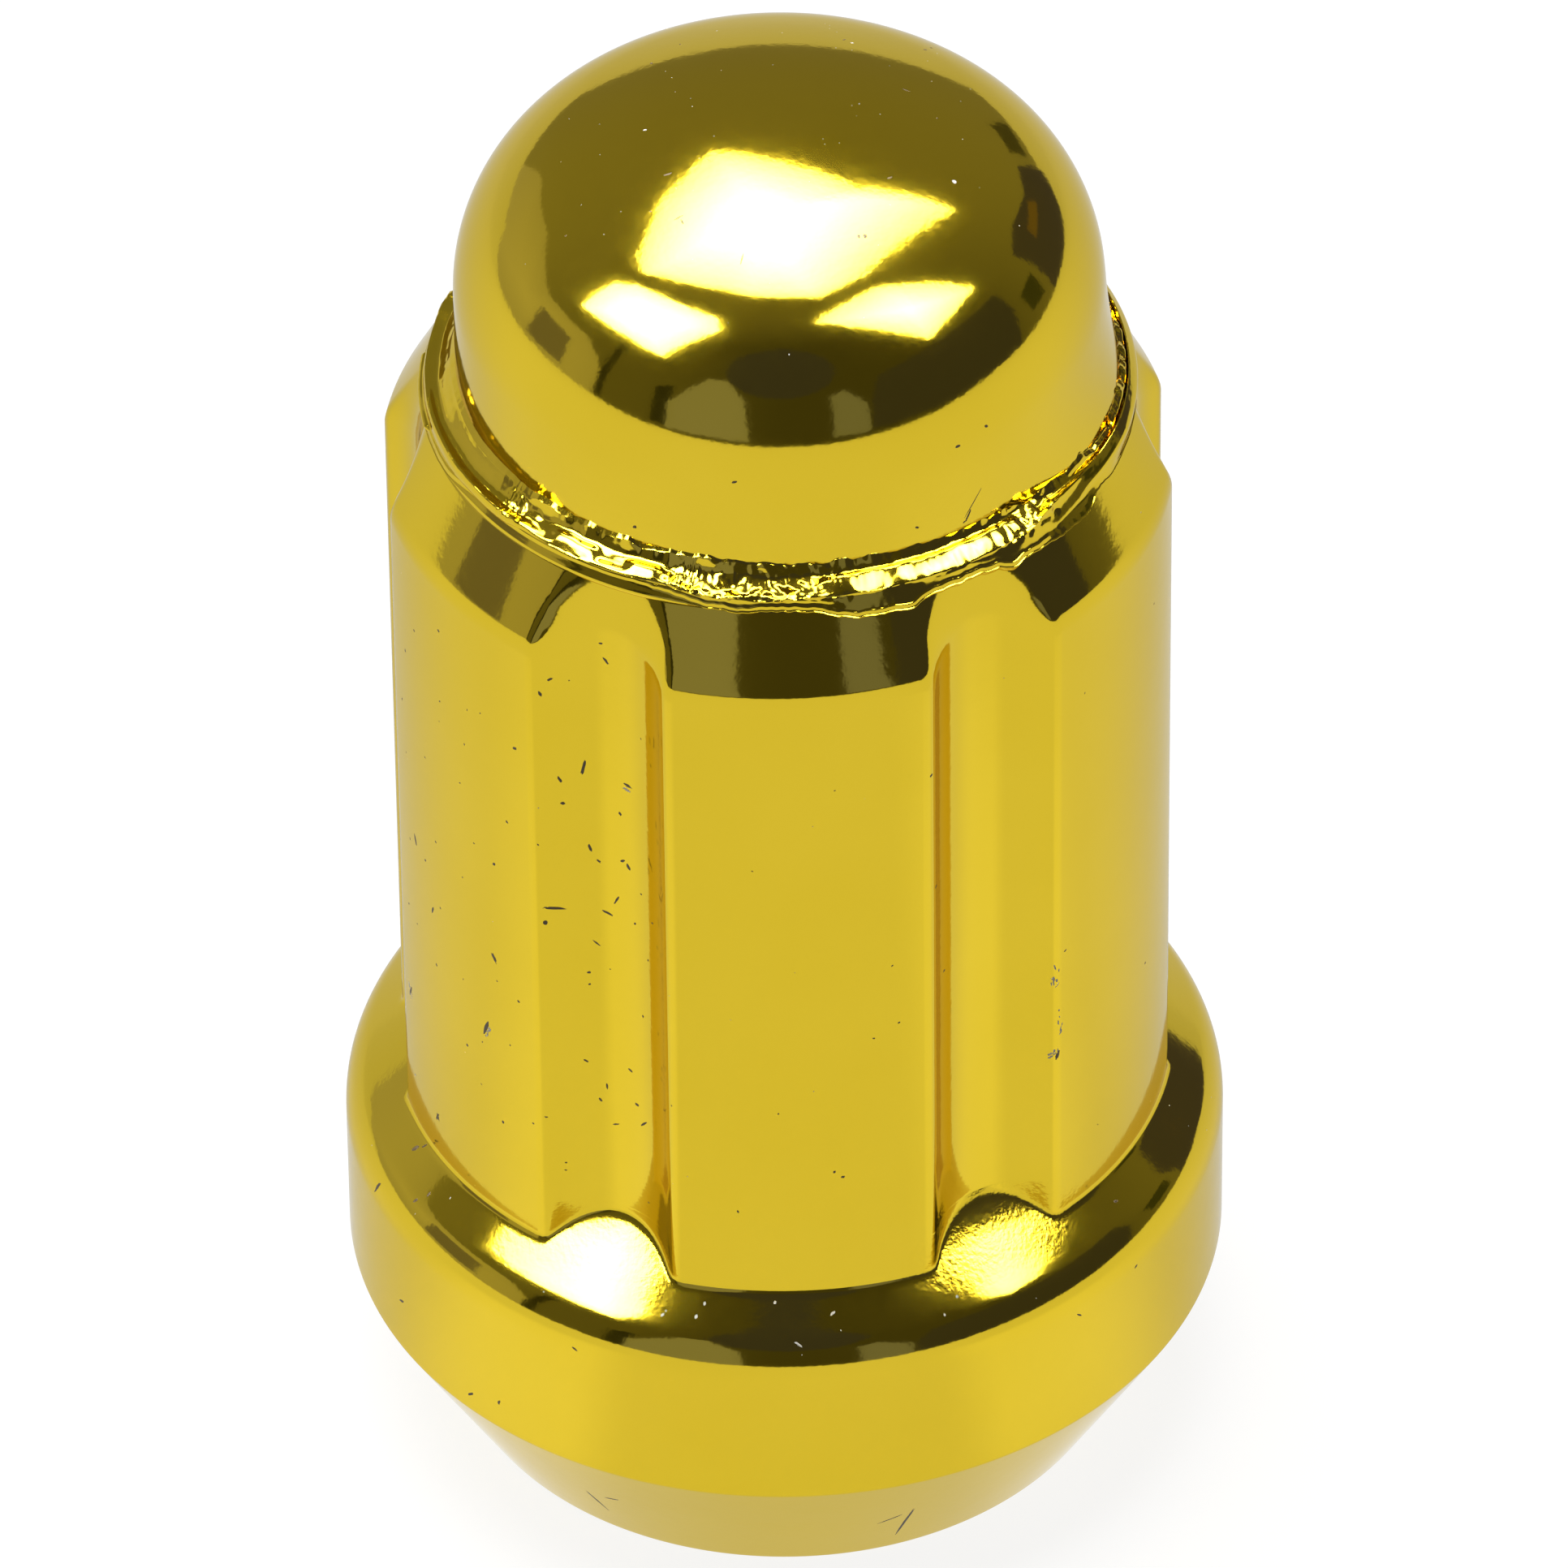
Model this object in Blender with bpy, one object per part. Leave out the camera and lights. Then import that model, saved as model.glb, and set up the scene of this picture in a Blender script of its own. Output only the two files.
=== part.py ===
# Closed-end spline-drive lug nut with a bulged 60 degree cone seat.
# It is made of two pieces: a forged body with six round flutes and a through thread, and a
# pressed steel dome cap that is welded on the body's top face.
# Lengths are in metres. +Z runs up the thread axis, the origin is the centre of the open end,
# and the middle of one land faces -Y.
import math

import bmesh
import bpy

MM = 0.001

# Thread M12 x 1.5; the bore is left plain at the thread's minor diameter
THREAD_DIAMETER = 12.0 * MM
THREAD_PITCH = 1.5 * MM
THREAD_DEPTH_IN_PITCHES = 0.5413
MOUTH_FLARE = 0.4 * MM
TOP_FLARE = 0.25 * MM

# Seat flange
FLANGE_DIAMETER = 23.5 * MM
SEAT_HALF_ANGLE = math.radians(30.0)
SEAT_HEIGHT = 4.85 * MM
BASE_ROUND = 0.4 * MM
SEAT_EDGE_ROUND = 0.2 * MM
FLANGE_SLOPE = math.radians(44.0)
FLANGE_ROUND = 1.2 * MM

# Fluted shank
LAND_DIAMETER = 20.64 * MM
LAND_FOOT_HEIGHT = 10.85 * MM
SHANK_FOOT_ROUND = 0.32 * MM
BODY_HEIGHT = 33.2 * MM
SHOULDER_HEIGHT = 2.1 * MM
SHOULDER_ROUND = 1.2 * MM
LIP_ROUND = 0.2 * MM

# Flutes between the lands
FLUTE_COUNT = 6
FLUTE_DEPTH = 1.04 * MM
FLUTE_ROUND = 2.39 * MM
LAND_EDGE_ROUND = 0.3 * MM

# Dome cap
CAP_DIAMETER = 16.8 * MM
CAP_WALL = 1.3 * MM
CAP_HEIGHT = 8.5 * MM
CAP_CORNER_ROUND = 4.75 * MM
CAP_CROWN_RADIUS = 13.6 * MM
LEDGE_WIDTH = 0.76 * MM
BEAD_INSET = 0.06 * MM
BEAD_HEIGHT = 0.3 * MM
BEAD_RISE = 0.75 * MM
BEAD_ROUND = 0.35 * MM
BEAD_EDGE_ROUND = 0.1 * MM
WELD_GAP = 0.3 * MM

# Faceting
ARC_STEP = math.radians(14.0)
LAND_FACES = 6
FLUTE_FACES = 6
CAP_SIDES = 72
FOOT_RINGS = 8
SHOULDER_RINGS = 4
SMOOTH_LIMIT = math.radians(32.0)

# Sizes that follow from the driving dimensions
bore_radius = THREAD_DIAMETER / 2 - THREAD_DEPTH_IN_PITCHES * THREAD_PITCH
mouth_radius = THREAD_DIAMETER / 2 + MOUTH_FLARE
top_mouth_radius = THREAD_DIAMETER / 2 + TOP_FLARE
flange_radius = FLANGE_DIAMETER / 2
seat_small_radius = flange_radius - SEAT_HEIGHT * math.tan(SEAT_HALF_ANGLE)
land_radius = LAND_DIAMETER / 2
flange_overhang = flange_radius - land_radius
flange_top_corner = LAND_FOOT_HEIGHT - flange_overhang * math.tan(FLANGE_SLOPE)
cap_radius = CAP_DIAMETER / 2
lip_radius = cap_radius + LEDGE_WIDTH
flute_centre_radius = land_radius - FLUTE_DEPTH + FLUTE_ROUND
flute_pitch = 2 * math.pi / FLUTE_COUNT


def rounded_profile(corners):
    """Points of an outline of (radius, height, rounding) corners, with each corner rounded."""
    points = []
    for index, (radius, height, rounding) in enumerate(corners):
        if rounding == 0 or index in (0, len(corners) - 1):
            points.append((radius, height))
            continue
        before = corners[index - 1]
        after = corners[index + 1]
        to_before = (before[0] - radius, before[1] - height)
        to_after = (after[0] - radius, after[1] - height)
        length_before = math.hypot(*to_before)
        length_after = math.hypot(*to_after)
        unit_before = (to_before[0] / length_before, to_before[1] / length_before)
        unit_after = (to_after[0] / length_after, to_after[1] / length_after)
        cosine = unit_before[0] * unit_after[0] + unit_before[1] * unit_after[1]
        opening = math.acos(max(-1.0, min(1.0, cosine)))
        turn = math.pi - opening
        if turn < 1e-4:
            points.append((radius, height))
            continue
        tangent = min(rounding * math.tan(turn / 2), 0.49 * length_before, 0.49 * length_after)
        true_round = tangent / math.tan(turn / 2)
        middle = (unit_before[0] + unit_after[0], unit_before[1] + unit_after[1])
        middle_length = math.hypot(*middle)
        reach = true_round / math.cos(turn / 2)
        centre = (radius + middle[0] / middle_length * reach,
                  height + middle[1] / middle_length * reach)
        start = (radius + unit_before[0] * tangent, height + unit_before[1] * tangent)
        end = (radius + unit_after[0] * tangent, height + unit_after[1] * tangent)
        start_angle = math.atan2(start[1] - centre[1], start[0] - centre[0])
        end_angle = math.atan2(end[1] - centre[1], end[0] - centre[0])
        sweep = (end_angle - start_angle + math.pi) % (2 * math.pi) - math.pi
        steps = max(2, math.ceil(turn / ARC_STEP))
        for step in range(steps + 1):
            angle = start_angle + sweep * step / steps
            points.append((centre[0] + true_round * math.cos(angle),
                           centre[1] + true_round * math.sin(angle)))
    return points


def height_lookup(profile, height):
    """Radius of a profile that only rises, at one height."""
    if height <= profile[0][1]:
        return profile[0][0]
    for lower, upper in zip(profile, profile[1:]):
        if height <= upper[1] and upper[1] > lower[1]:
            share = (height - lower[1]) / (upper[1] - lower[1])
            return lower[0] + (upper[0] - lower[0]) * share
    return profile[-1][0]


def soft_min(first, second, rounding):
    """The smaller of two radii, with the corner where they meet rounded off."""
    overlap = max(rounding - abs(first - second), 0.0) / rounding
    return min(first, second) - overlap * overlap * rounding / 4


def soft_max(first, second, rounding):
    """The larger of two radii, with the corner where they meet filled in."""
    return -soft_min(-first, -second, rounding)


def flange_profile():
    """Outline of the seat and the flange; its top slope runs on inwards under the shank."""
    inward = 2 * FLUTE_DEPTH
    slope_end = (land_radius - inward, LAND_FOOT_HEIGHT + inward * math.tan(FLANGE_SLOPE))
    corners = [
        (mouth_radius, 0.0, 0.0),
        (seat_small_radius, 0.0, BASE_ROUND),
        (flange_radius, SEAT_HEIGHT, SEAT_EDGE_ROUND),
        (flange_radius, flange_top_corner, FLANGE_ROUND),
        slope_end + (0.0,),
        (bore_radius, slope_end[1], 0.0),
    ]
    return rounded_profile(corners)[1:]


def shank_profile():
    """Outline of the shank as turned, from inside the flange up to the lip."""
    corners = [
        (bore_radius, flange_top_corner, 0.0),
        (land_radius, flange_top_corner, 0.0),
        (land_radius, BODY_HEIGHT - SHOULDER_HEIGHT, SHOULDER_ROUND),
        (lip_radius, BODY_HEIGHT, LIP_ROUND),
        (top_mouth_radius, BODY_HEIGHT, 0.0),
    ]
    return rounded_profile(corners)[:-1]


def flute_half_angle():
    """Half of the angle that one flute takes out of the land diameter."""
    numerator = flute_centre_radius ** 2 + land_radius ** 2 - FLUTE_ROUND ** 2
    return math.acos(numerator / (2 * flute_centre_radius * land_radius))


def flute_wall_radius(angle):
    """Distance from the axis to the round flute wall, at an angle from a land's middle."""
    from_flute = angle % flute_pitch - flute_pitch / 2
    offset = flute_centre_radius * math.sin(from_flute)
    if abs(offset) >= FLUTE_ROUND:
        return flute_centre_radius
    return flute_centre_radius * math.cos(from_flute) - math.sqrt(FLUTE_ROUND ** 2 - offset ** 2)


def body_radius(angle, height, flange, shank):
    """Radius of the finished body: the fluted shank standing on the flange's top slope."""
    fluted = soft_min(height_lookup(shank, height), flute_wall_radius(angle), LAND_EDGE_ROUND)
    return soft_max(height_lookup(flange, height), fluted, SHANK_FOOT_ROUND)


def body_angles():
    """Angles of the body's edges round the axis, closest together at the land edges."""
    flute_half = flute_half_angle()
    edge = LAND_EDGE_ROUND / land_radius
    land_half = flute_pitch / 2 - flute_half
    angles = []
    for index in range(FLUTE_COUNT):
        land_middle = index * flute_pitch
        flute_middle = land_middle + flute_pitch / 2
        land_reach = land_half - edge
        flute_reach = flute_half - edge
        for step in range(LAND_FACES + 1):
            angles.append(land_middle + land_reach * (2 * step / LAND_FACES - 1))
        angles.append(land_middle + land_half)
        for step in range(FLUTE_FACES + 1):
            angles.append(flute_middle + flute_reach * (2 * step / FLUTE_FACES - 1))
        angles.append(flute_middle + flute_half)
    return angles


def body_heights(flange, shank):
    """Heights of the body's rings, with more of them at the flutes' two ends."""
    foot_low = LAND_FOOT_HEIGHT - SHANK_FOOT_ROUND
    foot_high = LAND_FOOT_HEIGHT + FLUTE_DEPTH * math.tan(FLANGE_SLOPE) + 2 * SHANK_FOOT_ROUND
    shoulder_low = BODY_HEIGHT - SHOULDER_HEIGHT
    heights = [height for radius, height in flange if height < LAND_FOOT_HEIGHT]
    heights += [height for radius, height in shank if height > LAND_FOOT_HEIGHT]
    for step in range(FOOT_RINGS + 1):
        heights.append(foot_low + (foot_high - foot_low) * step / FOOT_RINGS)
    for step in range(1, SHOULDER_RINGS):
        heights.append(shoulder_low + SHOULDER_HEIGHT * step / SHOULDER_RINGS)
    closest = LIP_ROUND / 4
    spaced = []
    for height in sorted(heights):
        if not spaced or height - spaced[-1] > closest:
            spaced.append(height)
    spaced[-1] = BODY_HEIGHT
    return spaced


def ring_point(angle, radius, height):
    """A point at an angle from -Y, turning towards +X."""
    return (radius * math.sin(angle), -radius * math.cos(angle), height)


def loft(name, rings, closed, material):
    """Solid skinned over rings of points in turn; a ring of one point is a pole."""
    mesh = bmesh.new()
    made = [[mesh.verts.new(point) for point in ring] for ring in rings]
    pairs = list(zip(made, made[1:]))
    if closed:
        pairs.append((made[-1], made[0]))
    for lower, upper in pairs:
        count = max(len(lower), len(upper))
        for index in range(count):
            following = (index + 1) % count
            if len(lower) == 1:
                mesh.faces.new((lower[0], upper[following], upper[index]))
            elif len(upper) == 1:
                mesh.faces.new((lower[index], lower[following], upper[0]))
            else:
                mesh.faces.new((lower[index], lower[following], upper[following], upper[index]))
    bmesh.ops.recalc_face_normals(mesh, faces=mesh.faces)
    data = bpy.data.meshes.new(name)
    mesh.to_mesh(data)
    mesh.free()
    data.shade_smooth()
    data.set_sharp_from_angle(angle=SMOOTH_LIMIT)
    data.materials.append(material)
    piece = bpy.data.objects.new(name, data)
    bpy.context.scene.collection.objects.link(piece)
    return piece


def plated_steel(name, colour, roughness):
    """Bright plated steel with a tinted lacquer over it."""
    material = bpy.data.materials.new(name)
    material.use_nodes = True
    shader = material.node_tree.nodes["Principled BSDF"]
    shader.inputs["Base Color"].default_value = colour
    shader.inputs["Metallic"].default_value = 1.0
    shader.inputs["Roughness"].default_value = roughness
    return material


def make_nut_body():
    """Forged body: cone seat, bulged flange, six flutes and the through bore."""
    flange = flange_profile()
    shank = shank_profile()
    angles = body_angles()
    rings = []
    for height in body_heights(flange, shank):
        ring = []
        for angle in angles:
            ring.append(ring_point(angle, body_radius(angle, height, flange, shank), height))
        rings.append(ring)
    bore_rings = [
        (top_mouth_radius, BODY_HEIGHT),
        (bore_radius, BODY_HEIGHT - (top_mouth_radius - bore_radius)),
        (bore_radius, mouth_radius - bore_radius),
        (mouth_radius, 0.0),
    ]
    for radius, height in bore_rings:
        rings.append([ring_point(a, radius, height) for a in angles])
    gold_plate = plated_steel("gold_plate_body", (0.72, 0.52, 0.06, 1.0), 0.08)
    return loft("nut_body", rings, True, gold_plate)


def crown_arcs(radius, corner_round, crown_radius, top):
    """Points of a dome's outline, from the pole at its top down to where the wall begins."""
    corner_reach = radius - corner_round
    crown_reach = crown_radius - corner_round
    drop = math.sqrt(crown_reach ** 2 - corner_reach ** 2)
    crown_centre = top - crown_radius
    corner_centre = crown_centre + drop
    join = math.atan2(drop, corner_reach)
    crown_steps = math.ceil((math.pi / 2 - join) / ARC_STEP * 2)
    corner_steps = math.ceil(join / ARC_STEP)
    points = [(0.0, top)]
    for step in range(1, crown_steps):
        angle = math.pi / 2 + (join - math.pi / 2) * step / crown_steps
        points.append((crown_radius * math.cos(angle), crown_centre + crown_radius * math.sin(angle)))
    for step in range(corner_steps + 1):
        angle = join * (1 - step / corner_steps)
        points.append((corner_reach + corner_round * math.cos(angle),
                       corner_centre + corner_round * math.sin(angle)))
    return points


def make_dome_cap():
    """Pressed hollow cap, with the weld's bead as a low foot round its open rim."""
    rim = BODY_HEIGHT + WELD_GAP
    top = rim + CAP_HEIGHT
    inner_radius = cap_radius - CAP_WALL
    bead_radius = lip_radius - BEAD_INSET
    outer_crown = crown_arcs(cap_radius, CAP_CORNER_ROUND, CAP_CROWN_RADIUS, top)
    inner_crown = crown_arcs(inner_radius, CAP_CORNER_ROUND - CAP_WALL,
                             CAP_CROWN_RADIUS - CAP_WALL, top - CAP_WALL)
    foot = rounded_profile([
        outer_crown[-1] + (0.0,),
        (cap_radius, rim + BEAD_RISE, BEAD_ROUND),
        (bead_radius, rim + BEAD_HEIGHT, BEAD_EDGE_ROUND),
        (bead_radius, rim, BEAD_EDGE_ROUND),
        (inner_radius, rim, 0.0),
    ])
    outline = outer_crown[:-1] + foot + list(reversed(inner_crown))
    rings = []
    for radius, height in outline:
        if radius == 0.0:
            rings.append([(0.0, 0.0, height)])
            continue
        turns = [2 * math.pi * index / CAP_SIDES for index in range(CAP_SIDES)]
        rings.append([ring_point(turn, radius, height) for turn in turns])
    gold_plate = plated_steel("gold_plate_cap", (0.72, 0.52, 0.06, 1.0), 0.06)
    return loft("dome_cap", rings, False, gold_plate)


def main():
    for old in list(bpy.data.objects):
        bpy.data.objects.remove(old)
    make_nut_body()
    make_dome_cap()


main()
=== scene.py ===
# Looks of a closed-end spline-drive lug nut in gold-tinted bright plating.
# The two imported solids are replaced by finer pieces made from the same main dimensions: the
# fluted body, its thread, the dome cap and the ragged weld between them.
# Lengths are in metres. +Z runs up the thread axis and the middle of one land faces -Y.
import math
import random

import bmesh
import bpy
from mathutils import Matrix, Vector, noise
from mathutils.bvhtree import BVHTree

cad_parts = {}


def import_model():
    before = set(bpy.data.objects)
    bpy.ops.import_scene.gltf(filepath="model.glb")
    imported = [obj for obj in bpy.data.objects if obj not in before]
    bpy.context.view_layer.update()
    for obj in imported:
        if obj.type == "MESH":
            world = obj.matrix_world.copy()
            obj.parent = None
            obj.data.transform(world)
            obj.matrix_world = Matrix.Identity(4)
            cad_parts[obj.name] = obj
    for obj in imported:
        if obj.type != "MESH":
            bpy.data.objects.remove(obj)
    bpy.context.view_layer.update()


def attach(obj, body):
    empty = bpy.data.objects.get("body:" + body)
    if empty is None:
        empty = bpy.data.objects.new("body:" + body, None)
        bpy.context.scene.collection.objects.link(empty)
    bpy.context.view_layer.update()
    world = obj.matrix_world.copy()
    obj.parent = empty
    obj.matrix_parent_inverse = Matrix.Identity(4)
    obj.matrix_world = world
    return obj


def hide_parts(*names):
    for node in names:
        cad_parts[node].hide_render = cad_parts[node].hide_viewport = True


MM = 0.001

# Thread M12 x 1.5
THREAD_DIAMETER = 12.0 * MM
THREAD_PITCH = 1.5 * MM
THREAD_DEPTH_IN_PITCHES = 0.5413
THREAD_ROOTED = 0.06 * MM
THREAD_ROOT_WIDTH = 0.86 * THREAD_PITCH
THREAD_CREST_WIDTH = 0.25 * THREAD_PITCH
THREAD_START_HEIGHT = 1.1 * MM
MOUTH_FLARE = 0.4 * MM
TOP_FLARE = 0.25 * MM

# Seat flange
FLANGE_DIAMETER = 23.5 * MM
SEAT_HALF_ANGLE = math.radians(30.0)
SEAT_HEIGHT = 4.85 * MM
BASE_ROUND = 0.4 * MM
SEAT_EDGE_ROUND = 0.2 * MM
FLANGE_SLOPE = math.radians(42.0)
FLANGE_ROUND = 1.8 * MM

# Fluted shank
LAND_DIAMETER = 20.64 * MM
LAND_FOOT_HEIGHT = 10.85 * MM
SHANK_FOOT_ROUND = 0.14 * MM
BODY_HEIGHT = 33.2 * MM
SHOULDER_HEIGHT = 2.1 * MM
SHOULDER_ROUND = 1.2 * MM
LIP_ROUND = 0.2 * MM

# Flutes between the lands
FLUTE_COUNT = 6
FLUTE_DEPTH = 1.04 * MM
FLUTE_ROUND = 2.39 * MM
LAND_EDGE_ROUND = 0.3 * MM
SHOULDER_EDGE_ROUND = 0.75 * MM
SHOULDER_EDGE_START = 0.6 * MM

# Run-outs of the flutes on the flange; each row starts with the first flute towards +X
RUN_OUT_ROUGHNESS = (1.0, 0.1, 0.5, 0.3, 0.05, 0.3)
RUN_OUT_FILLETS = (0.17 * MM, 0.08 * MM, 0.10 * MM, 0.10 * MM, 0.06 * MM, 0.06 * MM)
RUN_OUT_WIDTH_SHARE = 0.62
RUN_OUT_BLEND_SHARE = 0.25
FILLET_START = 0.2 * MM
FILLET_RISE = 0.75 * MM
FILLET_LIMIT = 1.3
ROUGH_RADIUS = 11.1 * MM
ROUGH_BLEND = 0.7 * MM
ROUGH_RISE = 0.3 * MM

# Dome cap
CAP_DIAMETER = 16.8 * MM
CAP_WALL = 1.3 * MM
CAP_HEIGHT = 8.5 * MM
CAP_CORNER_ROUND = 4.75 * MM
CAP_CROWN_RADIUS = 13.6 * MM
CAP_OFF_CENTRE = 0.1 * MM
CAP_FLARE = 0.50 * MM
CAP_WALL_HEIGHT = 3.6 * MM
LEDGE_WIDTH = 0.76 * MM
WELD_GAP = 0.3 * MM
WELD_FOOT_HEIGHT = 33.8 * MM

# Fineness of the pieces
ARC_STEP = math.radians(4.0)
LAND_STEPS = 26
FLUTE_STEPS = 34
CAP_STEPS = 320
CAP_WALL_STEP = 0.5 * MM
WELD_STEPS = 1440
WELD_ROWS = 56
WELD_ROW_STEP = 0.055 * MM
RING_SPACING = 0.004 * MM
FLECK_LIFT = 0.003 * MM
FLECK_SIDES = 12
SCUFF_FLECKS = 9
SMOOTH_LIMIT = math.radians(40.0)

# Camera, as the photograph was taken
CAMERA_DISTANCE = 0.44063
CAMERA_AIM_HEIGHT = 0.019576
CAMERA_ELEVATION = math.radians(40.351)
CAMERA_TURN = math.radians(-2.7)
CAMERA_ROLL = math.radians(-0.638)
FOCAL_PIXELS = 20576.1
IMAGE_PIXELS = 1932
AIM_PIXEL = 962.31
SENSOR_WIDTH = 36.0

# Table top, which sweeps up behind the nut, and the soft light over it
TABLE_FRONT = -0.285
TABLE_BACK = 0.42
TABLE_EDGES = (-1.2, 0.0, 0.95)
SWEEP_RADIUS = 0.27
SWEEP_ANGLE = math.radians(60)
SWEEP_STEPS = 12
FILL_PLACE = Vector((-0.1, 0.1, 0.8))

# Sizes that follow from the driving dimensions
bore_radius = THREAD_DIAMETER / 2 - THREAD_DEPTH_IN_PITCHES * THREAD_PITCH
mouth_radius = THREAD_DIAMETER / 2 + MOUTH_FLARE
top_mouth_radius = THREAD_DIAMETER / 2 + TOP_FLARE
flange_radius = FLANGE_DIAMETER / 2
seat_small_radius = flange_radius - SEAT_HEIGHT * math.tan(SEAT_HALF_ANGLE)
land_radius = LAND_DIAMETER / 2
flange_top_corner = LAND_FOOT_HEIGHT - (flange_radius - land_radius) * math.tan(FLANGE_SLOPE)
cap_radius = CAP_DIAMETER / 2
lip_radius = cap_radius + LEDGE_WIDTH
flute_centre_radius = land_radius - FLUTE_DEPTH + FLUTE_ROUND
flute_pitch = 2 * math.pi / FLUTE_COUNT
cap_rim = BODY_HEIGHT + WELD_GAP
dome_middle = Vector((0.0, 0.0, BODY_HEIGHT + 4.0 * MM))


# Outlines shared with the solids

def rounded_profile(corners):
    """Points of an outline of (radius, height, rounding) corners, with each corner rounded."""
    points = []
    for index, (radius, height, rounding) in enumerate(corners):
        if rounding == 0 or index in (0, len(corners) - 1):
            points.append((radius, height))
            continue
        corner = Vector((radius, height))
        to_before = Vector(corners[index - 1][:2]) - corner
        to_after = Vector(corners[index + 1][:2]) - corner
        turn = math.pi - to_before.angle(to_after)
        longest = 0.49 * min(to_before.length, to_after.length)
        tangent = min(rounding * math.tan(turn / 2), longest)
        true_round = tangent / math.tan(turn / 2)
        inward = (to_before.normalized() + to_after.normalized()).normalized()
        centre = corner + inward * true_round / math.cos(turn / 2)
        start = corner + to_before.normalized() * tangent - centre
        end = corner + to_after.normalized() * tangent - centre
        start_angle = math.atan2(start.y, start.x)
        sweep = math.atan2(end.y, end.x) - start_angle
        sweep = (sweep + math.pi) % (2 * math.pi) - math.pi
        steps = max(3, math.ceil(turn / ARC_STEP))
        for step in range(steps + 1):
            angle = start_angle + sweep * step / steps
            points.append((centre.x + true_round * math.cos(angle),
                           centre.y + true_round * math.sin(angle)))
    return points


def flange_profile():
    """Outline of the seat and the flange; its top slope runs on inwards under the shank."""
    inward = 2 * FLUTE_DEPTH
    slope_end = (land_radius - inward, LAND_FOOT_HEIGHT + inward * math.tan(FLANGE_SLOPE))
    return rounded_profile([
        (mouth_radius, 0.0, 0.0),
        (seat_small_radius, 0.0, BASE_ROUND),
        (flange_radius, SEAT_HEIGHT, SEAT_EDGE_ROUND),
        (flange_radius, flange_top_corner, FLANGE_ROUND),
        slope_end + (0.0,),
        (bore_radius, slope_end[1], 0.0),
    ])[1:]


def shank_profile():
    """Outline of the shank as turned, from inside the flange up to the lip."""
    return rounded_profile([
        (bore_radius, flange_top_corner, 0.0),
        (land_radius, flange_top_corner, 0.0),
        (land_radius, BODY_HEIGHT - SHOULDER_HEIGHT, SHOULDER_ROUND),
        (lip_radius, BODY_HEIGHT, LIP_ROUND),
        (top_mouth_radius, BODY_HEIGHT, 0.0),
    ])[:-1]


def height_lookup(profile, height):
    """Radius of a profile that only rises, at one height."""
    if height <= profile[0][1]:
        return profile[0][0]
    for lower, upper in zip(profile, profile[1:]):
        if height <= upper[1] and upper[1] > lower[1]:
            share = (height - lower[1]) / (upper[1] - lower[1])
            return lower[0] + (upper[0] - lower[0]) * share
    return profile[-1][0]


def crown_arcs(radius, corner_round, crown_radius, top):
    """Points of a dome's outline, from the pole at its top down to where the wall begins."""
    corner_reach = radius - corner_round
    crown_reach = crown_radius - corner_round
    drop = math.sqrt(crown_reach ** 2 - corner_reach ** 2)
    crown_centre = top - crown_radius
    join = math.atan2(drop, corner_reach)
    crown_steps = math.ceil((math.pi / 2 - join) / ARC_STEP * 3)
    corner_steps = math.ceil(join / ARC_STEP * 2)
    points = [(0.0, top)]
    for step in range(1, crown_steps):
        angle = math.pi / 2 + (join - math.pi / 2) * step / crown_steps
        points.append((crown_radius * math.cos(angle),
                       crown_centre + crown_radius * math.sin(angle)))
    for step in range(corner_steps + 1):
        angle = join * (1 - step / corner_steps)
        points.append((corner_reach + corner_round * math.cos(angle),
                       crown_centre + drop + corner_round * math.sin(angle)))
    return points


# Mesh helpers

def limited(share):
    """A share held between 0 and 1."""
    return min(1.0, max(0.0, share))


def ring_point(angle, radius, height):
    """A point at an angle from -Y, turning towards +X."""
    return (radius * math.sin(angle), -radius * math.cos(angle), height)


def skin(name, rings, closed, material):
    """Piece skinned over rings of points in turn; a ring of one point is a pole."""
    mesh = bmesh.new()
    made = [[mesh.verts.new(point) for point in ring] for ring in rings]
    pairs = list(zip(made, made[1:]))
    if closed:
        pairs.append((made[-1], made[0]))
    for lower, upper in pairs:
        count = max(len(lower), len(upper))
        for index in range(count):
            following = (index + 1) % count
            if len(lower) == 1:
                mesh.faces.new((lower[0], upper[following], upper[index]))
            elif len(upper) == 1:
                mesh.faces.new((lower[index], lower[following], upper[0]))
            else:
                mesh.faces.new((lower[index], lower[following],
                                upper[following], upper[index]))
    bmesh.ops.recalc_face_normals(mesh, faces=mesh.faces)
    return mesh_piece(name, mesh, material)


def mesh_piece(name, mesh, material):
    """Object made from a bmesh, smooth but for its sharp edges."""
    data = bpy.data.meshes.new(name)
    mesh.to_mesh(data)
    mesh.free()
    data.shade_smooth()
    data.set_sharp_from_angle(angle=SMOOTH_LIMIT)
    data.materials.append(material)
    piece = bpy.data.objects.new(name, data)
    bpy.context.scene.collection.objects.link(piece)
    return piece


# Node helpers

def plug(tree, socket, value):
    """Links a socket to an input, or sets the input to a plain value."""
    if isinstance(value, bpy.types.NodeSocket):
        tree.links.new(value, socket)
    else:
        socket.default_value = value


def add_node(tree, kind, inputs, **settings):
    """Node of a kind, with its settings made and its inputs set or linked, by name or number."""
    node = tree.nodes.new(kind)
    for name, value in settings.items():
        setattr(node, name, value)
    for key, value in inputs.items():
        plug(tree, node.inputs[key], value)
    return node


def add_math(tree, operation, *values):
    """Math node whose inputs are numbers or sockets; gives its output socket."""
    return add_node(tree, "ShaderNodeMath", dict(enumerate(values)), operation=operation).outputs[0]


def plus(tree, first, second):
    """Math node for a sum."""
    return add_math(tree, "ADD", first, second)


def minus(tree, first, second):
    """Math node for a difference."""
    return add_math(tree, "SUBTRACT", first, second)


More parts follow.
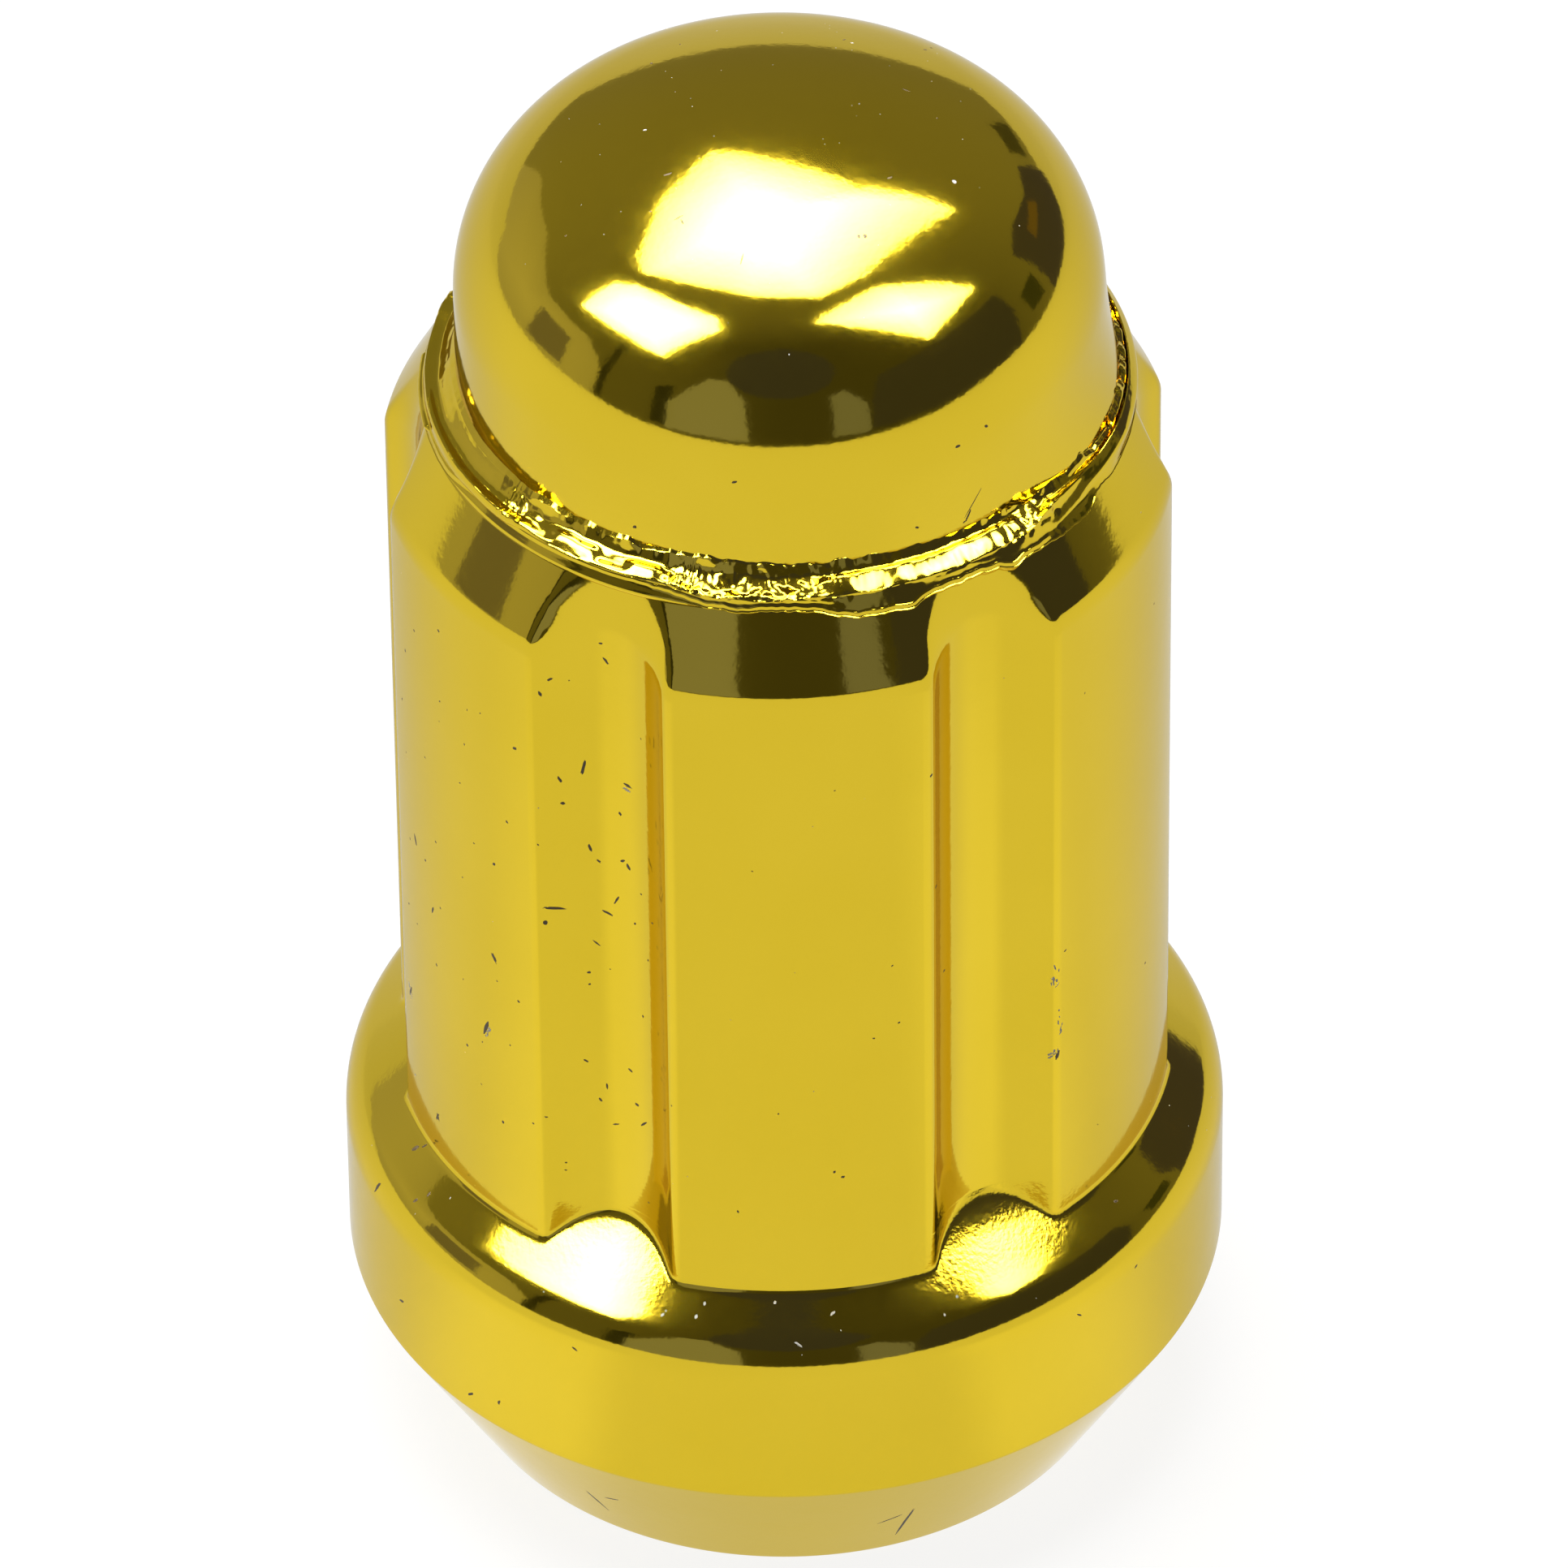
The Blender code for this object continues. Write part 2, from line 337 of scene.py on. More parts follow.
def times(tree, first, second):
    """Math node for a product."""
    return add_math(tree, "MULTIPLY", first, second)


def add_range(tree, value, low, high, result_low, result_high):
    """Smooth change from one result to another as a value goes from low to high."""
    inputs = dict(enumerate((value, low, high, result_low, result_high)))
    return add_node(tree, "ShaderNodeMapRange", inputs, interpolation_type="SMOOTHSTEP").outputs[0]


def add_noise(tree, place, scale, detail):
    """Noise texture on a position socket; gives its value socket."""
    inputs = {"Vector": place, "Scale": scale, "Detail": detail}
    return add_node(tree, "ShaderNodeTexNoise", inputs).outputs["Fac"]


def add_attribute(tree, name):
    """Named number attribute of the points; gives its output socket."""
    node = add_node(tree, "GeometryNodeInputNamedAttribute", {"Name": name}, data_type="FLOAT")
    return node.outputs["Attribute"]


def new_geometry_tree(name, sizes):
    """Geometry Nodes tree with one geometry input and a named number input for each size."""
    tree = bpy.data.node_groups.new(name, "GeometryNodeTree")
    tree.interface.new_socket("Geometry", in_out="INPUT", socket_type="NodeSocketGeometry")
    for size_name in sizes:
        tree.interface.new_socket(size_name, in_out="INPUT", socket_type="NodeSocketFloat")
    tree.interface.new_socket("Geometry", in_out="OUTPUT", socket_type="NodeSocketGeometry")
    return tree, tree.nodes.new("NodeGroupInput").outputs


def finish_tree(tree, geometry, material):
    """Last nodes of every tree: instances made real, and the material set."""
    real = add_node(tree, "GeometryNodeRealizeInstances", {0: geometry})
    paint = add_node(tree, "GeometryNodeSetMaterial",
                     {"Geometry": real.outputs[0], "Material": material})
    add_node(tree, "NodeGroupOutput", {0: paint.outputs[0]})


def run_tree(piece, tree, sizes):
    """Runs a Geometry Nodes tree on a piece and keeps its result as the piece's plain mesh."""
    modifier = piece.modifiers.new(tree.name, "NODES")
    modifier.node_group = tree
    for item in tree.interface.items_tree:
        if item.in_out == "INPUT" and item.name in sizes:
            modifier[item.identifier] = sizes[item.name]
    depsgraph = bpy.context.evaluated_depsgraph_get()
    made = bpy.data.meshes.new_from_object(piece.evaluated_get(depsgraph))
    piece.modifiers.remove(modifier)
    piece.data = made
    made.name = piece.name
    return piece


def surface_material(name):
    """Node material with its tree, its Principled shader's inputs and Object coordinates."""
    material = bpy.data.materials.new(name)
    material.use_nodes = True
    tree = material.node_tree
    place = tree.nodes.new("ShaderNodeTexCoord").outputs["Object"]
    return material, tree, tree.nodes["Principled BSDF"].inputs, place


def stage_material(name):
    """Node material without a shader, with its tree and its surface input."""
    material = bpy.data.materials.new(name)
    material.use_nodes = True
    tree = material.node_tree
    tree.nodes.clear()
    return material, tree, tree.nodes.new("ShaderNodeOutputMaterial").inputs["Surface"]


# Nut body

def soft_min_nodes(tree, first, second, rounding):
    """Nodes for the smaller of two radii, with the corner where they meet rounded off."""
    apart = add_math(tree, "ABSOLUTE", minus(tree, first, second))
    overlap = add_math(tree, "MAXIMUM", minus(tree, rounding, apart), 0.0)
    share = add_math(tree, "DIVIDE", overlap, rounding)
    cut = times(tree, times(tree, times(tree, share, share), rounding), 0.25)
    return minus(tree, add_math(tree, "MINIMUM", first, second), cut)


def soft_max_nodes(tree, first, second, rounding):
    """Nodes for the larger of two radii, with the corner where they meet filled in."""
    flipped = soft_min_nodes(tree, times(tree, first, -1.0), times(tree, second, -1.0), rounding)
    return times(tree, flipped, -1.0)


def fluting_tree(material):
    """Tree that forms the round flutes into a turned shank and stands it on the flange."""
    sizes = {
        "Flute pitch angle": flute_pitch,
        "Flute centre radius": flute_centre_radius,
        "Flute round": FLUTE_ROUND,
        "Land edge round": LAND_EDGE_ROUND,
        "Shoulder edge round": SHOULDER_EDGE_ROUND,
        "Shoulder foot": BODY_HEIGHT - SHOULDER_HEIGHT - SHOULDER_EDGE_START,
        "Shoulder middle": BODY_HEIGHT - 0.5 * SHOULDER_HEIGHT,
        "Shank foot round": SHANK_FOOT_ROUND,
    }
    tree, size = new_geometry_tree("flutes", sizes)
    position = tree.nodes.new("GeometryNodeInputPosition").outputs[0]
    across, along, height = add_node(tree, "ShaderNodeSeparateXYZ", {0: position}).outputs
    square = plus(tree, times(tree, across, across), times(tree, along, along))
    radius = add_math(tree, "SQRT", square)
    angle = add_math(tree, "ARCTAN2", across, times(tree, along, -1.0))
    in_pitch = add_math(tree, "FLOORED_MODULO", angle, size["Flute pitch angle"])
    from_flute = minus(tree, in_pitch, times(tree, size["Flute pitch angle"], 0.5))

    centre = size["Flute centre radius"]
    offset = times(tree, centre, add_math(tree, "SINE", from_flute))
    room = minus(tree, times(tree, size["Flute round"], size["Flute round"]),
                 times(tree, offset, offset))
    chord = add_math(tree, "SQRT", add_math(tree, "MAXIMUM", room, 0.0))
    level = times(tree, centre, add_math(tree, "COSINE", from_flute))
    inside = add_math(tree, "GREATER_THAN", room, 0.0)
    wall = plus(tree, times(tree, inside, minus(tree, level, chord)),
                times(tree, minus(tree, 1.0, inside), centre))

    shank = add_attribute(tree, "shank_radius")
    edge_round = add_range(tree, height, size["Shoulder foot"], size["Shoulder middle"],
                           size["Land edge round"], size["Shoulder edge round"])
    fluted = soft_min_nodes(tree, shank, wall, edge_round)
    formed = soft_max_nodes(tree, add_attribute(tree, "flange_radius"), fluted,
                            size["Shank foot round"])
    scale = add_math(tree, "DIVIDE", formed, radius)
    moved = add_node(tree, "ShaderNodeCombineXYZ", {
        0: times(tree, across, scale),
        1: times(tree, along, scale),
        2: height,
    })
    shape = add_node(tree, "GeometryNodeSetPosition", {
        "Geometry": size["Geometry"],
        "Selection": add_math(tree, "GREATER_THAN", shank, 0.0),
        "Position": moved.outputs[0],
    })
    finish_tree(tree, shape.outputs[0], material)
    return tree, sizes


def body_angles():
    """Angles of the body's edges round the axis, closest together at the land edges."""
    numerator = flute_centre_radius ** 2 + land_radius ** 2 - FLUTE_ROUND ** 2
    flute_half = math.acos(numerator / (2 * flute_centre_radius * land_radius))
    land_half = flute_pitch / 2 - flute_half
    angles = []
    for index in range(FLUTE_COUNT):
        for middle, half, steps in ((0.0, land_half, LAND_STEPS),
                                    (flute_pitch / 2, flute_half, FLUTE_STEPS)):
            for step in range(steps):
                even = 2 * step / steps - 1
                crowded = math.sin(even * math.pi / 2)
                angles.append(index * flute_pitch + middle + half * (0.5 * even + 0.5 * crowded))
    return angles


def body_heights(flange, shank):
    """Heights of the body's rings, closest together at its rounded edges and the lands' foot."""
    foot_low = LAND_FOOT_HEIGHT - 2 * SHANK_FOOT_ROUND
    foot_high = LAND_FOOT_HEIGHT + FLUTE_DEPTH * math.tan(FLANGE_SLOPE) + 2 * SHANK_FOOT_ROUND
    foot_high += max(RUN_OUT_FILLETS) * 1.5
    shoulder_low = BODY_HEIGHT - SHOULDER_HEIGHT - SHOULDER_ROUND
    heights = [height for radius, height in flange if height < foot_low]
    heights += [height for radius, height in shank if height > foot_high]
    for low, high, step in ((0.0, foot_low, 0.35 * MM),
                            (foot_low, foot_high, 0.05 * MM),
                            (foot_high, shoulder_low, 1.0 * MM),
                            (shoulder_low, BODY_HEIGHT, 0.15 * MM)):
        count = math.ceil((high - low) / step)
        heights += [low + (high - low) * index / count for index in range(count)]
    spaced = []
    for height in sorted(heights):
        if not spaced or height - spaced[-1] > RING_SPACING:
            spaced.append(height)
    return spaced


def run_out_place(angle):
    """Which flute an angle is in, and how fully it is over the middle of that flute's run-out."""
    flute = int(angle % (2 * math.pi) / flute_pitch) % FLUTE_COUNT
    aside = abs(angle % flute_pitch - flute_pitch / 2) / (flute_pitch / 2)
    return flute, limited((RUN_OUT_WIDTH_SHARE - aside) / RUN_OUT_BLEND_SHARE)


def run_out_fillet(angle, height):
    """Metal added to the flange's slope where a flute's run-out curves up into the flute."""
    flute, across = run_out_place(angle)
    rise = max(0.0, (height - LAND_FOOT_HEIGHT - FILLET_START) / FILLET_RISE)
    return RUN_OUT_FILLETS[flute] * across * min(FILLET_LIMIT, rise) ** 2


def make_body(material):
    """Forged body: cone seat, bulged flange, shouldered lands and six flutes."""
    flange = flange_profile()
    shank = shank_profile()
    angles = body_angles()
    groove_radius = THREAD_DIAMETER / 2
    outline = []
    for height in body_heights(flange, shank):
        radii = (height_lookup(flange, height), height_lookup(shank, height))
        outline.append((max(radii), height, radii))
    outline.append((top_mouth_radius, BODY_HEIGHT, (0.0, 0.0)))
    outline.append((groove_radius, BODY_HEIGHT - (top_mouth_radius - groove_radius), (0.0, 0.0)))
    outline.append((groove_radius, mouth_radius - groove_radius, (0.0, 0.0)))
    outline.append((mouth_radius, 0.0, (0.0, 0.0)))
    rings = [[ring_point(angle, radius, height) for angle in angles]
             for radius, height, radii in outline]
    body = skin("nut_body_finish", rings, True, material)
    flange_radii = [radii[0] + run_out_fillet(angle, height)
                    for radius, height, radii in outline for angle in angles]
    shank_radii = [radii[1] for radius, height, radii in outline for angle in angles]
    for name, values in (("flange_radius", flange_radii), ("shank_radius", shank_radii)):
        attribute = body.data.attributes.new(name, "FLOAT", "POINT")
        attribute.data.foreach_set("value", values)
    tree, sizes = fluting_tree(material)
    run_tree(body, tree, sizes)
    for name in ("flange_radius", "shank_radius"):
        body.data.attributes.remove(body.data.attributes[name])
    mark_run_outs(body)
    return body


def mark_run_outs(body):
    """Point attribute, for the material, that rises where a flute runs out on the flange."""
    arch = LAND_FOOT_HEIGHT + FLUTE_DEPTH * math.tan(FLANGE_SLOPE)
    levels = []
    for vertex in body.data.vertices:
        x, y, z = vertex.co
        flute, across = run_out_place(math.atan2(x, -y) % (2 * math.pi))
        inward = limited((ROUGH_RADIUS - math.hypot(x, y)) / ROUGH_BLEND)
        if not flange_top_corner < z < arch + ROUGH_RISE:
            inward = 0.0
        levels.append(RUN_OUT_ROUGHNESS[flute] * across * inward)
    attribute = body.data.attributes.new("run_out", "FLOAT", "POINT")
    attribute.data.foreach_set("value", levels)


# Thread

def thread_tree(material):
    """Tree that sweeps one thread form along a right-hand helix; it fades out at both ends."""
    turns = (BODY_HEIGHT - 2 * THREAD_START_HEIGHT) / THREAD_PITCH
    sizes = {
        "Turns": turns,
        "Rise": turns * THREAD_PITCH,
        "Root radius": THREAD_DIAMETER / 2 + THREAD_ROOTED,
        "Depth": THREAD_DIAMETER / 2 - bore_radius + THREAD_ROOTED,
        "Root width": THREAD_ROOT_WIDTH,
        "Crest width": THREAD_CREST_WIDTH,
        "Start height": THREAD_START_HEIGHT,
    }
    tree, size = new_geometry_tree("thread", sizes)
    helix = add_node(tree, "GeometryNodeCurveSpiral", {
        "Resolution": 72,
        "Rotations": size["Turns"],
        "Start Radius": size["Root radius"],
        "End Radius": size["Root radius"],
        "Height": size["Rise"],
        "Reverse": True,
    })
    upright = add_node(tree, "GeometryNodeSetCurveNormal", {"Curve": helix.outputs[0]}, mode="Z_UP")
    along = tree.nodes.new("GeometryNodeSplineParameter").outputs["Factor"]
    turns_in = times(tree, add_math(tree, "MINIMUM", along, minus(tree, 1.0, along)), size["Turns"])
    form = add_node(tree, "GeometryNodeCurvePrimitiveQuadrilateral", {
        "Bottom Width": size["Root width"],
        "Top Width": size["Crest width"],
        "Height": size["Depth"],
        "Offset": 0.0,
    }, mode="TRAPEZOID")
    inwards = add_node(tree, "ShaderNodeCombineXYZ", {0: times(tree, size["Depth"], -0.5)})
    turned = add_node(tree, "GeometryNodeTransform", {
        "Geometry": form.outputs[0],
        "Translation": inwards.outputs[0],
        "Rotation": (0.0, 0.0, math.pi / 2),
    })
    sweep = add_node(tree, "GeometryNodeCurveToMesh", {
        "Curve": upright.outputs[0],
        "Profile Curve": turned.outputs[0],
        "Scale": add_math(tree, "MINIMUM", 1.0, plus(tree, turns_in, 0.1)),
        "Fill Caps": True,
    })
    upwards = add_node(tree, "ShaderNodeCombineXYZ", {2: size["Start height"]})
    lifted = add_node(tree, "GeometryNodeTransform", {
        "Geometry": sweep.outputs[0],
        "Translation": upwards.outputs[0],
    })
    finish_tree(tree, lifted.outputs[0], material)
    return tree, sizes


def make_thread(material):
    """Right-hand M12 x 1.5 thread form inside the body's bore."""
    thread = mesh_piece("thread_form", bmesh.new(), material)
    tree, sizes = thread_tree(material)
    return run_tree(thread, tree, sizes)


# Dome cap

def between(degrees, low, high, blend):
    """1 for angles from low to high, falling smoothly to 0 over a blend on both sides."""
    middle = (low + high) / 2
    away = abs((degrees - middle + 180) % 360 - 180) - (high - low) / 2
    share = limited(1 - away / blend)
    return share * share * (3 - 2 * share)


def cap_flare(degrees, height):
    """How far the cap's wall flares outwards at a height; only its right side does."""
    share = limited(1 - (height - cap_rim) / CAP_WALL_HEIGHT)
    return CAP_FLARE * share ** 2 * between(degrees, 80, 120, 42)


def make_cap(material):
    """Pressed hollow cap; its foot stands in the weld, and its unseen inside is coarser."""
    top = cap_rim + CAP_HEIGHT
    outer = crown_arcs(cap_radius, CAP_CORNER_ROUND, CAP_CROWN_RADIUS, top)
    inner = crown_arcs(cap_radius - CAP_WALL, CAP_CORNER_ROUND - CAP_WALL,
                       CAP_CROWN_RADIUS - CAP_WALL, top - CAP_WALL)
    wall_top = outer[-1][1]
    wall_parts = math.ceil((wall_top - cap_rim) / CAP_WALL_STEP)
    wall = [(cap_radius, wall_top + (cap_rim - wall_top) * (part / wall_parts))
            for part in range(1, wall_parts + 1)]
    inner_foot = [(cap_radius - CAP_WALL, cap_rim)]
    outline = outer + wall + inner_foot + list(reversed(inner[::3] + [inner[-1]]))
    right = Vector((math.cos(CAMERA_TURN), math.sin(CAMERA_TURN), 0.0))
    shift = right * CAP_OFF_CENTRE
    rings = []
    for radius, height in outline:
        if radius == 0.0:
            rings.append([(shift.x, shift.y, height)])
            continue
        ring = []
        for index in range(CAP_STEPS):
            flare = cap_flare(360 * index / CAP_STEPS, height)
            x, y, z = ring_point(2 * math.pi * index / CAP_STEPS, radius + flare, height)
            ring.append((x + shift.x, y + shift.y, z))
        rings.append(ring)
    return skin("dome_cap_finish", rings, False, material)


# Weld between the cap and the body

WELD_INSIDE = 8.05  # millimetres from the axis, as are the numbers of its outline below
WELD_LUMPS = (
    # from and to these angles in degrees, blend in degrees, size
    (-53, -48, 3, 0.36), (-46, -24, 4, 0.20), (-19, 6, 5, 0.40),
    (10, 34, 4, 0.32), (39, 48, 4, 0.55), (118, 242, 15, 0.60),
)


def ring_noise(degrees, grain, seed):
    """Smooth noise from -1 to 1 that closes on itself round the weld."""
    turn = math.radians(degrees)
    reach = lip_radius / grain
    return noise.noise(Vector((reach * math.sin(turn) + seed, reach * math.cos(turn), seed)))


def crumple(degrees, row, stretch, fine, seed):
    """Uneven swelling of the weld metal, stretched round the ring, with more or less fine grain."""
    reach = lip_radius / stretch
    turn = math.radians(degrees)
    place = Vector((reach * math.sin(turn), reach * math.cos(turn), row * WELD_ROW_STEP))
    swell = 0.0
    for grain, share in ((0.46 * MM, 0.50), (0.21 * MM, 0.32 * fine), (0.11 * MM, 0.16 * fine)):
        swell += share * noise.noise(place / grain + Vector((seed, seed, seed)))
    return swell


def weld_lumps(degrees):
    """How lumpy the weld's slope is at an angle from -Y towards +X."""
    return 0.05 + sum(size * between(degrees, low, high, blend)
                      for low, high, blend, size in WELD_LUMPS)


def mix(first, second, share):
    """A point part of the way from the first to the second."""
    return (first[0] + (second[0] - first[0]) * share, first[1] + (second[1] - first[1]) * share)


def weld_slope(degrees):
    """Outlines of the weld's slope at an angle, in millimetres: as most of it is, and where the
    cap's wall flares."""
    ridge = between(degrees, -112, -54, 8) + 1.2 * between(degrees, 50, 112, 8)
    full = between(degrees, 8, 38, 6) + 0.4 * between(degrees, 118, 242, 15)
    left = between(degrees, -48, -22, 6)
    patch = between(degrees, -42, -36, 3) + between(degrees, -27, -24, 2.5)
    sway = ring_noise(degrees, 0.9 * MM, 17.2)
    teeth = ring_noise(degrees, 0.55 * MM, 5.3) + 0.5 * ring_noise(degrees, 0.22 * MM, 9.1)
    ragged = 0.11 + 0.15 * between(degrees, 38, 100, 6) - 0.09 * between(degrees, -112, -62, 10)
    rag = ragged * teeth
    foot = 34.06 + 0.10 * ring_noise(degrees, 2.0 * MM, 2.2) - 0.12 * between(degrees, 30, 58, 12)
    crest = 9.07 + 0.01 * ridge - 0.07 * left + 0.02 * ring_noise(degrees, 1.1 * MM, 14.6)
    crest_height = 33.50 + 0.17 * ridge + 0.11 * left + 0.03 * sway
    hollow = 8.84 - 0.06 * ridge - 0.12 * full - 0.05 * left
    hollow_height = 33.58 + 0.06 * ridge + 0.18 * full + 0.09 * left + 0.11 * patch + 0.02 * sway
    common = (
        (8.40, foot + rag + 0.06),
        (8.44, foot + rag),
        (8.57 - 0.03 * ridge, foot - 0.27 + 0.13 * ridge + 0.05 * full),
        (hollow, hollow_height),
        (crest, crest_height),
        (crest + 0.05, crest_height - 0.08 - 0.18 * ridge),
    )
    reach = (cap_radius + cap_flare(degrees, WELD_FOOT_HEIGHT)) / MM
    reach += CAP_OFF_CENTRE / MM * math.sin(math.radians(degrees))
    outer = min(reach + 0.22, 9.10)
    rise = 33.60 + 0.14 * between(degrees, 74, 120, 14)
    flared = (
        (reach - 0.03, 33.92 + 0.8 * rag),
        (reach + 0.03, 33.84 + 0.8 * rag),
        (reach + 0.12, 33.74 + 0.6 * rag),
        (outer - 0.06, 33.54),
        (outer, rise),
        (outer + 0.10, rise - 0.08),
        (outer + 0.22, rise - 0.24),
        (outer + 0.24, rise - 0.38),
    )
    return common, flared


def weld_lip(degrees, flare):
    """Radius and height, in millimetres, of the thin lip that hangs over the shoulder."""
    droop = 0.65 * between(degrees, 10, 16, 8) + 0.55 * between(degrees, 38, 55, 4)
    droop += 0.25 * between(degrees, 20, 36, 5) - 0.5 * between(degrees, -60, -24, 12) + 0.4 * flare
    wavy = 0.25 + between(degrees, -22, 60, 10) + 0.5 * between(degrees, 118, 242, 15)
    wave = ring_noise(degrees, 0.55 * MM, 41.9) + 0.6 * ring_noise(degrees, 0.2 * MM, 7.7)
    height = 33.27 - 0.42 * droop + 0.04 * wavy * wave
    step_out = between(degrees, -100, -82, 1.2) + between(degrees, 84, 100, 1.2)
    return shoulder_reach(height) + 0.05 + 0.10 * step_out + 0.012 * wavy * wave, height


def weld_section(degrees):
    """Outline of the weld at an angle, as (radius, height) in millimetres, from its top down."""
    flare = between(degrees, 66, 120, 26)
    common, flared = weld_slope(degrees)
    lip, lip_height = weld_lip(degrees, flare)
    common += ((lip - 0.05, lip_height + 0.07), (lip, lip_height))
    under = lip_height - 0.10
    below = min(under - 0.05, 33.15)
    section = [(WELD_INSIDE, 34.55)]
    section += [mix(first, second, flare) for first, second in zip(common, flared)]
    section += [(shoulder_reach(under) + 0.012, under), (shoulder_reach(below) + 0.008, below),
                (shoulder_reach(below) - 0.2, below - 0.15), (WELD_INSIDE, 32.95)]
    return section


def shoulder_reach(height):
    """Radius of the lands' shoulder at a height, both in millimetres."""
    slope = (land_radius - lip_radius) / SHOULDER_HEIGHT
    return lip_radius / MM + slope * (BODY_HEIGHT / MM - height)


def smooth_line(points, count):
    """Points evenly spread by index along a smooth line through the given points."""
    line = []
    last = len(points) - 1
    for step in range(count):
        along = last * step / (count - 1)
        first = min(int(along), last - 1)
        share = along - first
        before, start, end, after = (Vector(points[min(last, max(0, first + offset))])
                                     for offset in (-1, 0, 1, 2))
        out = (end - before) * 0.5
        into = (after - start) * 0.5
        line.append(start + share * out + share ** 2 * (3 * (end - start) - 2 * out - into)
                    + share ** 3 * (2 * (start - end) + out + into))
    return line


def make_weld(material):
    """Ragged weld ring: a lumpy slope under the cap's wall and a thin lip over the shoulder."""
    lines = []
    for index in range(WELD_STEPS):
        degrees = 360 * index / WELD_STEPS
        lines.append((degrees, smooth_line(weld_section(degrees), WELD_ROWS)))
    rings = []
    for row in range(WELD_ROWS):
        on_slope = between(360 * row / (WELD_ROWS - 1), 94, 168, 36)
        ring = []
        for degrees, line in lines:
            radius, height = line[row]
            swell = 0.0
            if on_slope > 0:
                stretch = 1.2 + 1.2 * between(degrees, -50, -22, 6)
                fine = 1 - 0.6 * between(degrees, 10, 34, 4) - 0.5 * between(degrees, -46, -24, 4)
                swell = 0.24 * crumple(degrees, row, stretch, fine, 3.1)
                swell *= weld_lumps(degrees) * on_slope
            ring.append(ring_point(math.radians(degrees), (radius + 0.66 * swell) * MM,
                                   (height + 0.75 * swell) * MM))
        rings.append(ring)
    return skin("weld_seam", rings, True, material)


# Nicks and scuffs in the plating

NICKS = (
    # azimuth in degrees, height and length in millimetres, tilt in degrees, width in millimetres
    (-32.1, 31.25, 0.13, 11, 0.06), (-31.3, 30.71, 0.28, -50, 0.08),
    (-38.9, 30.01, 0.10, 51, 0.08), (-39.9, 29.58, 0.19, -75, 0.05),
    (-44.2, 27.44, 0.14, 29, 0.09), (-35.1, 26.99, 0.58, 79, 0.08),
    (-38.1, 26.60, 0.24, -71, 0.06), (-27.8, 26.75, 0.28, -11, 0.09),
    (-37.8, 25.79, 0.11, -42, 0.09), (-29.3, 25.68, 0.13, -58, 0.08),
    (-70.8, 21.07, 0.31, -67, 0.11), (-34.4, 24.31, 0.28, -72, 0.08),
    (-33.1, 23.88, 0.15, -37, 0.08), (-29.0, 24.10, 0.17, 32, 0.08),
    (-27.9, 23.98, 0.20, -56, 0.10), (-30.2, 22.69, 0.34, 63, 0.07),
    (-39.0, 22.28, 0.42, -20, 0.10), (-31.8, 22.16, 0.34, -19, 0.08),
    (-65.2, 19.43, 0.30, 70, 0.08), (-49.0, 23.01, 0.14, 31, 0.09),
    (-39.9, 21.83, 0.17, -86, 0.08), (-33.7, 21.06, 0.28, -40, 0.05),
    (-49.5, 19.72, 0.28, -60, 0.11), (-51.7, 17.08, 0.62, 69, 0.12),
    (-35.6, 16.95, 0.15, -37, 0.06), (-28.2, 16.95, 0.15, -26, 0.08),
    (-32.5, 16.16, 0.20, -87, 0.06), (-33.6, 15.64, 0.14, -56, 0.08),
    (-27.1, 15.86, 0.14, -15, 0.08), (-31.1, 14.89, 0.23, 24, 0.05),
    (-25.8, 15.31, 0.36, 47, 0.06), (-65.4, 12.16, 0.26, -60, 0.10),
    (41.2, 16.48, 0.30, 68, 0.12), (33.4, 34.72, 1.05, 48, 0.035),
    (32.3, 34.38, 0.42, 58, 0.07), (31.6, 34.22, 0.16, 20, 0.06),
    (-10.2, 36.69, 0.17, 17, 0.07), (30.2, 36.78, 0.18, -3, 0.08),
    (-28.6, 34.60, 0.16, 25, 0.08), (22.1, 34.60, 0.15, -19, 0.07),
    (36.4, 36.99, 0.14, -26, 0.08), (-33.2, 1.95, 1.1, -73, 0.07),
    (-29.5, 2.6, 0.5, 20, 0.06), (15.2, 1.9, 1.9, 84, 0.08), (12.4, 2.3, 0.7, 30, 0.06),
    (-71.2, 9.30, 0.45, 74, 0.10), (-69.8, 10.55, 0.20, 55, 0.10), (-68.8, 10.72, 0.13, 57, 0.06),
    (-65.6, 12.15, 0.36, 66, 0.08), (-75.2, 15.18, 0.50, 64, 0.09), (-63.1, 9.97, 0.14, 53, 0.08),
    (-61.9, 10.23, 0.11, 89, 0.08), (-63.5, 6.53, 0.22, 22, 0.08), (-31.2, 8.91, 0.17, -28, 0.06),
    (-48.5, 5.40, 0.24, 44, 0.08), (-43.4, 5.74, 0.18, 72, 0.07), (51.1, 10.40, 0.14, -11, 0.06),
    (49.3, 8.83, 0.13, 31, 0.06), (38.4, 8.59, 0.20, -44, 0.05),
)
DOME_NICKS = (
    # azimuth, distance from the axis, length, tilt and width, in the same units
    (26.9, 4.64, 0.14, 80, 0.10), (25.0, 4.58, 0.11, 70, 0.07), (-38.7, 4.15, 0.26, 60, 0.05),
    (-36.4, 4.22, 0.18, -30, 0.05), (-12.7, 4.85, 0.30, 85, 0.04), (112.3, 3.75, 0.24, 40, 0.05),
    (-48.0, 2.30, 0.20, 10, 0.04), (-58.0, 3.30, 0.24, 65, 0.05), (52.0, 3.60, 0.16, -20, 0.05),
)
